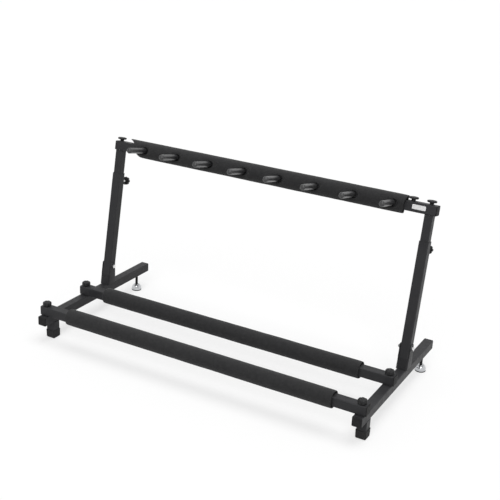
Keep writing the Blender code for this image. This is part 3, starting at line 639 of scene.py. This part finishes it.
def add_glide(side):
    """Replace a glide by a domed chrome foot on a rubber pad and a dark threaded stem."""
    node = side + "_levelling_glide"
    low, high = node_box(node)
    reach = (high.x - low.x) / 2
    place, body = floor_place(node), node + "_turning"
    points = [(0, 0.0030), (0.0110, 0.0030, 0.0004), (0.0110, 0.0024, 0.0003), (reach - 0.0008, 0.0024, 0.0004)]
    points += [(reach - 0.0003, 0.0030, 0.0006), (reach - 0.0003, 0.0078, 0.0022), (0.0125, 0.0138, 0.0030)]
    points += [(0.0084, 0.0181, 0.0016), (0.0072, 0.0184, 0.0004), (0.0050, 0.0184, 0.0003)]
    points += [(0.0044, 0.0178, 0.0003), (0, 0.0176)]
    shape = loft(turned(soften(points), GLIDE_STEPS))
    add_piece(node + "_foot", shape, body, "chrome", (node,), place)
    points = [(0, 0.0006), (0.0090, 0.0006, 0.0004), (0.0096, 0, 0.0004), (reach - 0.0006, 0, 0.0005)]
    points += [(reach, 0.0006, 0.0004), (reach, 0.0018, 0.0004), (reach - 0.0004, 0.0022, 0.0003)]
    points += [(0.0106, 0.0022, 0.0003), (0.0106, 0.0028, 0.0003), (0, 0.0028)]
    shape = loft(turned(soften(points), GLIDE_STEPS))
    add_piece(side + "_glide_pad", shape, body, "rubber", (), place)
    shape = loft(thread_rings(GLIDE_THREAD, 0.0177, high.z, BOLT_STEPS))
    add_piece(side + "_glide_stem", shape, body, "stem", (), place)


# Foam sleeves

FOAM_STEPS = 64
ROWS = range(FOAM_STEPS)
LINE_GAP = 0.004
BORE = TUBE / 2 + GAP
BORE_FLAT = BORE - TUBE_CORNER
# Half the rows and lines of the grid's patch round each opening, and half its length
PATCH = 6
PATCH_REACH = OPENING_ACROSS + 0.006
DISH_DEPTH = 0.0026
DISH_SPREAD = 0.45
SLANT = 0.01825
LIP = 0.0270
LIP_ANGLE = math.radians(103)
LIP_POINT = 4
HOLLOW = 0.010
RIM_STEPS = (0.0012, 0.0024, 0.004, 0.0055)
RIM_DEPTH = 0.0014
SLACK = 0.0006
LIFT = 0.0005
SQUARENESS = 0.00022
PINCH, PINCH_LENGTH = 0.0005, 0.006
# How much shorter the top sleeve's hand-cut right end is, by the angle from its front upward
RIGHT_CUT = ((0, 0.003), (75, 0.0), (105, 0.0), (148, 0.010), (210, 0.011), (279, 0.0065))


def bore_points():
    """Return the bore's outline as (rear, up), from the middle of its front face upward."""
    side = [(-BORE, BORE_FLAT * step / PATCH) for step in range(1 - PATCH, PATCH + 1)]
    for step in range(1, 5):
        angle = math.pi * (1 - step / 8)
        side.append((TUBE_CORNER * math.cos(angle) - BORE_FLAT, TUBE_CORNER * math.sin(angle) + BORE_FLAT))
    outline = []
    for _ in range(4):
        outline += side
        side = [(z, -y) for y, z in side]
    return outline[PATCH - 1:] + outline[:PATCH - 1]


def row_angle(row):
    """Return the angle of a row, from the front upward."""
    return 2 * math.pi * row / FOAM_STEPS


def beyond_patch(row):
    """Return 0 on the patches' rows, rising to 1 a little away from them."""
    return smooth(PATCH, PATCH + 4, min(row, FOAM_STEPS - row))


class Sleeve:
    """A foam sleeve along X round a square bar, front towards -Y, axis at the origin."""

    def __init__(self, radius, start, end, seed, slant=0.0, lip=0.0, hollow=0.0, cut=(), holes=()):
        self.radius, self.start, self.end, self.seed = radius, start, end, seed
        self.slant, self.lip, self.hollow = slant, lip, hollow
        self.cut, self.holes = cut, holes
        self.bore = bore_points()

    def rise(self, angle):
        """Return how high an angle lies, from -1 to 1, where the lip's tip counts as the top."""
        angle = math.remainder(angle, 2 * math.pi)
        if angle <= 0:
            return math.sin(angle)
        share = angle / LIP_ANGLE if angle < LIP_ANGLE else (math.pi - angle) / (math.pi - LIP_ANGLE)
        return math.sin(share * math.pi / 2)

    def first(self, angle):
        """Return where the sleeve starts: its underside is slanted, its top runs out into a lip."""
        height = self.rise(angle)
        return self.start - (self.slant * height if height < 0 else self.lip * height ** LIP_POINT)

    def shortened(self, angle):
        """Return how much the end is cut back at an angle."""
        degrees = math.degrees(angle) % 360
        points = (*self.cut, (360, self.cut[0][1])) if self.cut else ()
        for (low, first), (high, second) in zip(points, points[1:]):
            if low <= degrees <= high:
                return first + (second - first) * smooth(low, high, degrees)
        return 0.0

    def last(self, angle):
        """Return where the sleeve ends at an angle."""
        return self.end - self.shortened(angle)

    def recess(self, angle):
        """Return how far the start's inside lies behind its outer lip."""
        return self.hollow * smooth(0.25, 0.95, self.rise(angle))

    def reach(self, x, angle):
        """Return the outside radius, with its waves, its squareness and the dents round its holes."""
        spot = Vector((x * 18, math.cos(angle) * 0.8 + self.seed, math.sin(angle) * 0.8))
        wave = noise.noise(spot) * 0.00035 + noise.noise(spot * 4.1) * 0.00012
        square = SQUARENESS * math.cos(4 * angle + math.pi)
        lifted = LIFT * math.sin(angle)
        ends = min(abs(x - self.first(angle)), abs(self.last(angle) - x))
        pinch = PINCH * math.exp(-ends / PINCH_LENGTH)
        dent = 0.0
        for centre in self.holes:
            bent = math.remainder(angle, 2 * math.pi) * self.radius - FINGER_RISE
            away = math.hypot((x - centre) / OPENING_ACROSS, bent / OPENING_OVER) - 1
            dent = max(dent, DISH_DEPTH * math.exp(-(max(away, 0.0) / DISH_SPREAD) ** 1.5))
        return self.radius - SLACK + lifted + wave + square - pinch - dent

    def point(self, x, angle, depth=0.0):
        """Return a point at a depth under the outside."""
        reach = self.reach(x, angle) - depth
        return Vector((x, -reach * math.cos(angle), reach * math.sin(angle)))

    def columns(self):
        """Return the grid lines along X, each as its places round the sleeve, and the patches' spans."""
        firsts = [self.first(row_angle(row)) for row in ROWS]
        lines = [[x + offset for x in firsts] for offset in RIM_STEPS]
        patches = []
        last = self.end - RIM_STEPS[-1]
        spans = [(centre - PATCH_REACH, centre + PATCH_REACH) for centre in self.holes] + [(last, last)]
        for number, (low, high) in enumerate(spans):
            begin = lines[-1]
            gap = low - sum(begin) / FOAM_STEPS
            count = max(1 if number else 3, round(gap / LINE_GAP))
            for step in range(1, count + 1):
                lines.append([x + (low - x) * step / count for x in begin])
            if high > low:
                patches.append((len(lines) - 1, len(lines) - 1 + 2 * PATCH))
                for step in range(1, 2 * PATCH + 1):
                    lines.append([low + (high - low) * step / (2 * PATCH)] * FOAM_STEPS)
                if number == 0:
                    self.spread_lines(lines, len(RIM_STEPS) - 1, high)
        lines += [[self.end - offset] * FOAM_STEPS for offset in reversed(RIM_STEPS[:-1])]
        self.draw_back(lines)
        return lines, patches

    def spread_lines(self, lines, first, high):
        """Space the lines up to the first patch's far side evenly, away from the patch's rows."""
        count = len(lines) - 1 - first
        for step in range(1, count):
            line = lines[first + step]
            for row in ROWS:
                even = lines[first][row] + (high - lines[first][row]) * step / count
                line[row] += (even - line[row]) * beyond_patch(row)

    def draw_back(self, lines):
        """Move the lines near the end back with its cut, on the patch's rows only beside it."""
        steady = self.end - RIM_STEPS[-1]
        for line in lines:
            for row in ROWS:
                begin = self.end - (0.012 + 0.033 * beyond_patch(row))
                line[row] -= self.shortened(row_angle(row)) * smooth(begin, steady, line[row])

    def build(self):
        """Return the sleeve's closed mesh; its cut faces have the second finish."""
        shape = bmesh.new()
        lines, patches = self.columns()
        inside, holes = set(), set()
        for first, last in patches:
            for column in range(first, last):
                holes.update((column, row % FOAM_STEPS) for row in range(-PATCH, PATCH))
                if column > first:
                    inside.update((column, row % FOAM_STEPS) for row in range(1 - PATCH, PATCH))
        outer, inner = {}, {}
        joined = patches[0][0] if patches else 3
        for column, line in enumerate(lines):
            for row in ROWS:
                if (column, row) in inside:
                    continue
                outer[column, row] = shape.verts.new(self.point(line[row], row_angle(row)))
                x = line[row]
                if column < joined:
                    mouth = lines[0][row] + self.recess(row_angle(row))
                    x = mouth + (lines[joined][row] - mouth) * column / joined
                inner[column, row] = shape.verts.new((x, *self.bore[row]))
        for column in range(len(lines) - 1):
            for row in ROWS:
                if (column, row) in holes:
                    continue
                after = (row + 1) % FOAM_STEPS
                for grid in (outer, inner):
                    corners = (grid[column, row], grid[column + 1, row], grid[column + 1, after], grid[column, after])
                    shape.faces.new(corners)
        self.close_end(shape, outer, inner, 0, self.first, self.recess, 1)
        self.close_end(shape, outer, inner, len(lines) - 1, self.last, lambda angle: 0.0, -1)
        for (first, last), centre in zip(patches, self.holes):
            self.cut_hole(shape, outer, inner, first, last, centre)
        return shape

    def close_end(self, shape, outer, inner, column, edge, recess, way):
        """Add the softened rim and the cut face of one end, whose inside lies along X times way."""
        previous = [outer[column, row] for row in ROWS]
        angles = [row_angle(row) for row in ROWS]
        for back, depth in ((0.00045, 0.00022), (0.00008, 0.0007), (0.0, RIM_DEPTH)):
            ring = [shape.verts.new(self.point(edge(angle) + way * back, angle, depth)) for angle in angles]
            bridge(shape, previous, ring)
            previous = ring
        for share in (0.1, 0.3, 0.5, 0.75):
            ring = []
            for angle, (y, z) in zip(angles, self.bore):
                spot = self.point(edge(angle), angle, RIM_DEPTH).lerp(Vector((edge(angle), y, z)), share)
                rough = noise.noise(spot * 420) * 0.0004
                spot.x += way * (0.0009 * math.sin(math.pi * share) + rough + recess(angle) * share ** 0.6)
                ring.append(shape.verts.new(spot))
            bridge(shape, previous, ring, 1)
            previous = ring
        bridge(shape, previous, [inner[column, row] for row in ROWS], 1)

    def opening(self, way, spread):
        """Return a point of an opening's outline, widened by a spread, from the opening's middle."""
        across, over = OPENING_ACROSS + spread, OPENING_OVER + spread
        return across * math.cos(way), FINGER_RISE + over * math.sin(way)

    def cut_hole(self, shape, outer, inner, first, last, centre):
        """Fill one patch with rings round a finger's hole, and add the hole's wall."""
        border = [(column, -PATCH) for column in range(first, last)]
        border += [(last, row) for row in range(-PATCH, PATCH)]
        border += [(column, PATCH) for column in range(last, first, -1)]
        border += [(first, row) for row in range(PATCH, -PATCH, -1)]
        outside, bored, ways = [], [], []
        for column, row in border:
            x = -PATCH_REACH + 2 * PATCH_REACH * (column - first) / (last - first)
            arc = row_angle(row) * self.radius
            outside.append((x, arc))
            bored.append((x, BORE_FLAT * row / PATCH))
            ways.append(math.atan2((arc - FINGER_RISE) / OPENING_OVER, x / OPENING_ACROSS))
        previous = [outer[column, row % FOAM_STEPS] for column, row in border]
        for share in (0.22, 0.42, 0.60, 0.76, 0.90, 1.0):
            ring = []
            for (x, arc), way in zip(outside, ways):
                to_x, to_z = self.opening(way, 0.0009)
                to_arc = math.asin(to_z / self.radius) * self.radius
                across = x + (to_x - x) * share
                around = (arc + (to_arc - arc) * share) / self.radius
                ring.append(shape.verts.new(self.point(centre + across, around)))
            bridge(shape, previous, ring)
            previous = ring
        # The wall: its rim by depths in metres, then by shares of the way to the bore
        for spread, depth in ((0.00045, 0.00012), (0.00012, 0.00045), (0.0, 0.0010), (0.0, 0.5), (-0.0002, 1.0)):
            ring = []
            for way in ways:
                x, z = self.opening(way, spread)
                top = self.point(centre + x, math.asin(z / self.radius))
                y = top.y + depth if depth < 0.1 else top.y + (-BORE - top.y) * depth
                ring.append(shape.verts.new((centre + x, y, z)))
            bridge(shape, previous, ring, 0 if depth < 0.0008 else 1)
            previous = ring
        ring = []
        for (x, z), way in zip(bored, ways):
            from_x, from_z = self.opening(way, -0.0002)
            ring.append(shape.verts.new((centre + (from_x + x) / 2, -BORE, (from_z + z) / 2)))
        bridge(shape, previous, ring)
        bridge(shape, ring, [inner[column, row % FOAM_STEPS] for column, row in border])


def add_sleeve(node, body, axis_point, seed, place=WORLD, **form):
    """Replace a foam solid by its detailed sleeve."""
    low, high = node_box(node, place)
    start = low.x + form.get("slant", 0.0)
    shape = Sleeve((high.z - low.z) / 2, start, high.x, seed, **form).build()
    place = aim((0, axis_point.y, axis_point.z), "Z", place)
    # The cut ends take the darker foam, partly painted shade.
    added = add_piece(node + "_sleeve", shape, body, ("foam", "foam_cut_shaded"), (node,), place, weigh=False)


# Fingers

def finger_place(number):
    """Return a finger's place: its Z runs from the bar's front face to the tip."""
    x = node_middle(f"finger_cover_{number}", LEANING).x
    root = Vector((x, -TUBE / 2, node_middle("end_sleeve_cap", LEANING).z + FINGER_RISE))
    return LEANING @ Matrix.Translation(root) @ Matrix.Rotation(-FINGER_TILT, 4, "X") @ POINTING["-Y"]


def add_finger_rod(number):
    """Add the steel rod inside a finger cover."""
    length = FINGER_LENGTH - COVER_END_WALL
    profile = soften([(0, -0.0004), (0.004, -0.0004), (0.004, length, 0.0006), (0, length)])
    rod = loft(turned(profile, 24))
    add_painted(f"finger_rod_{number}", rod, "top_frame", (), finger_place(number), weigh=False)


def add_finger(number):
    """Replace a finger cover by a smooth one with a rounded tip and faint mould lines."""
    node = f"finger_cover_{number}"
    reach, tip = FINGER_RADIUS, FINGER_TIP
    root, straight = COVER_START + 0.0003, 0.006
    run = FINGER_LENGTH - tip - straight
    profile = [(0.0044, root), (reach - 0.0009, root), (reach - 0.0003, root + 0.0006), (reach - 0.0002, straight)]
    profile += [(reach - 0.0001 - 0.00025 * step / 8, straight + run * step / 8) for step in range(1, 9)]
    for step in range(1, 8):
        angle = math.pi / 2 * step / 8
        profile.append(((reach - 0.00035) * math.cos(angle) ** 0.72, FINGER_LENGTH - tip + tip * math.sin(angle)))
    profile.append((0.0, FINGER_LENGTH))

    def lined(radius):
        line = 0.00018 * smooth(0.0, 0.006, radius)
        return lambda angle: radius + line * math.cos(angle) ** 60

    shape = loft(turned(profile, ROUND_STEPS, lined))
    place = finger_place(number)
    add_piece(node + "_skin", shape, "top_frame", "cover", (node,), place, weigh=False)


# Hinge brackets

def apply_modifiers(target):
    """Give an object the mesh that its modifiers make, and drop them."""
    graph = bpy.context.evaluated_depsgraph_get()
    mesh = bpy.data.meshes.new_from_object(target.evaluated_get(graph))
    target.modifiers.clear()
    target.data = mesh


def add_bracket(side):
    """Replace a hinge bracket by one with rounded bends and softened edges."""
    node = side + "_hinge_bracket"
    shape = bmesh.new()
    shape.from_mesh(frame["nodes"][node].data)
    bmesh.ops.remove_doubles(shape, verts=shape.verts, dist=0.00001)
    bmesh.ops.dissolve_limit(shape, angle_limit=math.radians(1), verts=shape.verts, edges=shape.edges)
    bracket = add_painted(node + "_plate", shape, "base", (node,), weigh=False)
    low, high = node_box(node, LEANING)
    radius, margin = 0.0042, 0.002
    bottom, web_top = -0.08, -0.0255
    for number, (x, way) in enumerate(((low.x, 1), (high.x, -1))):
        outline = [(x - way * margin, low.y - margin), (x + way * radius, low.y - margin)]
        for step in range(9):
            angle = math.pi / 2 * step / 8
            outline.append((x + way * radius * (1 - math.sin(angle)), low.y + radius * (1 - math.cos(angle))))
        outline.append((x - way * margin, low.y + radius))
        cutter_shape = loft([[Vector((*point, z)) for point in outline] for z in (bottom, web_top)])
        cutter = add_object(f"{node}_cutter_{number}", cutter_shape, LEANING)
        cut = bracket.modifiers.new("bend", "BOOLEAN")
        cut.object = cutter
        cut.operation = "DIFFERENCE"
        cut.solver = "EXACT"
        apply_modifiers(bracket)
        bpy.data.objects.remove(cutter)
    bevel = bracket.modifiers.new("edges", "BEVEL")
    bevel.width = EDGE
    bevel.segments = 3
    bevel.limit_method = "ANGLE"
    bevel.angle_limit = SHARP_ANGLE
    weigh_normals(bracket)


# Label and height nuts

def add_label():
    """Replace the label plate by a bare one with round corners and a raised rim."""
    low, high = node_box("label_plate", LEANING)
    width, height, thickness = high.x - low.x, high.z - low.z, high.y - low.y
    profile = [(0, 0), (0, thickness - 0.0002), (0.0002, thickness), (0.0007, thickness)]
    profile += [(0.0009, thickness - 0.0002)]
    rings = []
    for inset, z in profile:
        corner = max(0.0016 - inset, 0.0004)
        rings.append(square_ring(width - 2 * inset, corner, z, 4, height - 2 * inset))
    centre = (low + high) / 2
    centre.y = high.y
    place = aim(centre, "-Y", LEANING)
    add_piece("label_plate_face", loft(rings), "top_frame", "label", ("label_plate",), place)


def add_height_nut(side):
    """Add the nut that is welded on the rear of an outer upright, with its weld."""
    spot = LEANING.inverted() @ Vector(joints[side + "_height_knob_turn"]["pos_m"])
    place = aim((spot.x, TUBE / 2, spot.z), "Y", LEANING)
    outline = hexagon(0.010)
    profile = [(0.0033, 0), (outline, 0), (outline, 0.0044), (clipped(outline, 0.0054), 0.0047)]
    profile += [(0.0047, 0.005), (0.0036, 0.005), (0.0033, 0.0046)]
    add_painted(side + "_height_nut", loft(turned(profile), closed=True), "uprights", (), place)
    add_bead(side + "_height_nut_weld", polar_ring(0.0058, 0.0002, 40), "uprights", place, 0.0011, True)


# The rack

for side in ("left", "right"):
    add_tube(side + "_leg", "Y", "base", across=node_middle(side + "_leg_front_cap"))
    add_tube(side + "_foot_post", "Z", "base")
    upright_middle = Vector((node_middle(side + "_inner_upright", LEANING).x, 0, 0))
    add_tube(side + "_outer_upright", "Z", "uprights", LEANING, across=upright_middle)
    add_tube(side + "_inner_upright", "Z", "top_frame", LEANING, wall=INNER_WALL)
    add_cap(side + "_leg_front_cap", "-Y", "base")
    add_cap(side + "_leg_rear_cap", "Y", "base")
    add_rubber_foot(side)
    add_glide(side)
    add_bracket(side)
    add_hinge(side)
    add_height_nut(side)
    low, high = node_box(side + "_foot_post")
    for name, y in (("front", low.y), ("rear", high.y)):
        weld = [(x, y, high.z - 0.0002) for x in (low.x + 0.002, high.x - 0.002)]
        add_bead(f"{side}_foot_{name}_weld", weld, "base")

for end, seed in (("front", 3.0), ("rear", 11.0)):
    add_tube(end + "_bar", "X", "base")
    add_cap(end + "_bar_left_cap", "-X", "base")
    add_cap(end + "_bar_right_cap", "X", "base")
    add_sleeve(end + "_foam", "base", node_middle(end + "_foam"), seed)

add_tube("top_bar", "X", "top_frame", LEANING, across=node_middle("top_bar_cap", LEANING))
for number in FINGERS:
    add_finger_rod(number)
bar_axis = node_middle("end_sleeve_cap", LEANING)
add_tube("end_sleeve", "X", "top_frame", LEANING, across=bar_axis)
add_cap("top_bar_cap", "-X", "top_frame", LEANING)
add_cap("end_sleeve_cap", "X", "top_frame", LEANING)
openings = [finger_place(number).translation.x + OPENING_SHIFT for number in FINGERS]
form = {"slant": SLANT, "lip": LIP, "hollow": HOLLOW, "cut": RIGHT_CUT, "holes": openings}
add_sleeve("top_foam", "top_frame", bar_axis, 23.0, LEANING, **form)
for number in FINGERS:
    add_finger(number)
add_label()

for end in ("front", "rear"):
    for side in ("left", "right"):
        add_clamp_knob(f"{end}_{side}_clamp_knob", CLAMP_STUD)
for side in ("left", "right"):
    add_clamp_knob(side + "_height_knob", HEIGHT_STUD, bright=True)
add_flat_knob("top_left_knob", TOP_STUD)
add_flat_knob("top_right_knob", TOP_STUD)
add_flat_knob("sleeve_lock_knob", LOCK_STUD)

# Hidden inside the tubes: the frame's own solids, in their finishes
for node, finish in (("top_bar_spigot", "paint"), ("left_upright_plug", "zinc"), ("right_upright_plug", "zinc")):
    solid = frame["nodes"][node]
    solid.data.materials.clear()
    solid.data.materials.append(FINISHES[finish])


# Floor, light and camera

WHITE = (1, 1, 1, 1)
FLOOR_REACH = 30.0
FLOOR_DROP = 0.0002
FLOOR_BOUNCE = 0.45
FLOOR_LIT = 0.38
FLOOR_GLOW = 0.62
DOME_LOW = 0.28
DOME_HIGH = 0.42
BACKDROP_TOP = 0.35
CAMERA_PLACE = (1.13615, -2.0457, 1.2121)
CAMERA_YAW, CAMERA_PITCH, CAMERA_ROLL = math.radians(28.288), math.radians(21.311), math.radians(2.893)
FOCAL_PIXELS = 971.55
PICTURE_PIXELS = 500
SENSOR = 36.0


def make_floor():
    """Lay a wide white floor that keeps the rack's shadow and throws little light back."""
    mesh = bpy.data.meshes.new("floor")
    corners = [(x * FLOOR_REACH, y * FLOOR_REACH, 0) for x, y in ((-1, -1), (1, -1), (1, 1), (-1, 1))]
    mesh.from_pydata(corners, [], [(0, 1, 2, 3)])
    floor = bpy.data.objects.new("floor", mesh)
    floor.location.z = -FLOOR_DROP
    material = bpy.data.materials.new("floor")
    nodes = Nodes(material)
    seen = nodes.seen_share()
    shades = {"Factor": seen, "A": (*(FLOOR_BOUNCE,) * 3, 1), "B": (*(FLOOR_LIT,) * 3, 1)}
    colour = nodes.add("ShaderNodeMix", shades, data_type="RGBA")
    glow = nodes.add("ShaderNodeMath", {0: seen, 1: FLOOR_GLOW}, operation="MULTIPLY")
    nodes.fill(nodes.tree.nodes["Principled BSDF"], {
        "Base Color": colour.outputs["Result"], "Roughness": 0.9, "Specular IOR Level": 0.0,
        "Emission Color": WHITE, "Emission Strength": glow.outputs[0]})
    mesh.materials.append(material)
    bpy.context.scene.collection.objects.link(floor)


def make_world():
    """Light the scene from a soft dome, brighter above; the camera sees it white."""
    world = bpy.data.worlds.new("studio")
    bpy.context.scene.world = world
    nodes = Nodes(world)
    place = nodes.add("ShaderNodeTexCoord")
    up = nodes.add("ShaderNodeSeparateXYZ", {0: place.outputs["Generated"]}).outputs["Z"]
    dome = nodes.ranged(up, DOME_LOW, DOME_HIGH, 0.0, 0.9)
    backdrop = nodes.ranged(up, 1.0, BACKDROP_TOP, 0.45, 0.85)
    mix = nodes.add("ShaderNodeMix", {"Factor": nodes.seen_share(), "A": dome, "B": backdrop}, data_type="FLOAT")
    nodes.fill(nodes.tree.nodes["Background"], {"Color": WHITE, "Strength": mix.outputs["Result"]})


def add_sun(name, towards, softness, power):
    """Add a soft sun that shines from a direction."""
    data = bpy.data.lights.new(name, "SUN")
    data.angle = math.radians(softness)
    data.energy = power
    lamp = bpy.data.objects.new(name, data)
    lamp.rotation_mode = "QUATERNION"
    lamp.rotation_quaternion = Vector(towards).to_track_quat("Z", "Y")
    lamp.location = Vector(towards).normalized() * 3
    bpy.context.scene.collection.objects.link(lamp)


def make_camera():
    """Put the camera where the photograph was taken from."""
    ahead = math.cos(CAMERA_PITCH)
    forward = Vector((-math.sin(CAMERA_YAW) * ahead, math.cos(CAMERA_YAW) * ahead, -math.sin(CAMERA_PITCH)))
    level = Vector((math.cos(CAMERA_YAW), math.sin(CAMERA_YAW), 0))
    raised = level.cross(forward)
    right = level * math.cos(CAMERA_ROLL) + raised * math.sin(CAMERA_ROLL)
    up = raised * math.cos(CAMERA_ROLL) - level * math.sin(CAMERA_ROLL)
    data = bpy.data.cameras.new("camera")
    data.sensor_width = SENSOR
    data.lens = FOCAL_PIXELS / PICTURE_PIXELS * SENSOR
    data.clip_end = 200
    camera = bpy.data.objects.new("camera", data)
    turn = Matrix((right, up, -forward)).transposed().to_4x4()
    camera.matrix_world = Matrix.Translation(CAMERA_PLACE) @ turn
    bpy.context.scene.collection.objects.link(camera)
    bpy.context.scene.camera = camera


make_floor()
make_world()
add_sun("overhead", (0.15, 0.10, 1.0), 40, 1.3)
add_sun("front", (0.25, -0.80, 0.70), 40, 1.2)
make_camera()
bpy.context.scene.view_settings.view_transform = "Standard"
